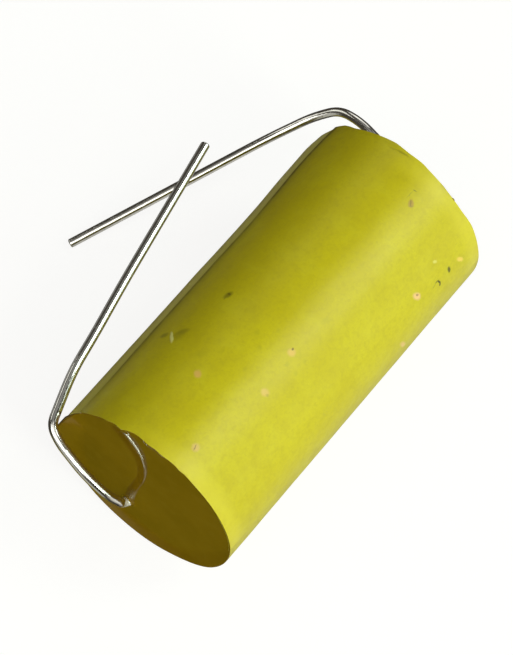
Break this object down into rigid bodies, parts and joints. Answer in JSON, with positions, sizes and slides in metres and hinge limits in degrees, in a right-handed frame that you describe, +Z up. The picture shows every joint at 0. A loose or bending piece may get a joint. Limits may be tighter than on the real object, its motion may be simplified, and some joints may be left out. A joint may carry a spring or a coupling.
{
  "type": "polyester film capacitor",
  "caption": "Cylindrical film capacitor wrapped in yellow tape with amber resin ends; both wire leads are bent back along one side.",
  "frame": {"origin": "middle of the cylindrical body, on its own axis", "axes": "+X along the body's axis from the near end to the far end, +Z up, leads on the +Y side; the body lies on z = -9 mm"},
  "size_m": [0.044, 0.0339, 0.018],
  "materials": {
    "tape": "satin",
    "film": "satin",
    "core": "matte",
    "zinc": "matte",
    "solder": "satin",
    "resin": "gloss",
    "tinned_wire": "gloss"
  },
  "bodies": {
    "root": {"tape_wrap": "tape", "film_winding": "film", "winding_core": "core", "end_spray_near": "zinc", "end_spray_far": "zinc", "solder_near": "solder", "solder_far": "solder", "epoxy_near": "resin", "epoxy_far": "resin", "lead_near": "tinned_wire", "lead_far": "tinned_wire"}
  },
  "joints": []
}
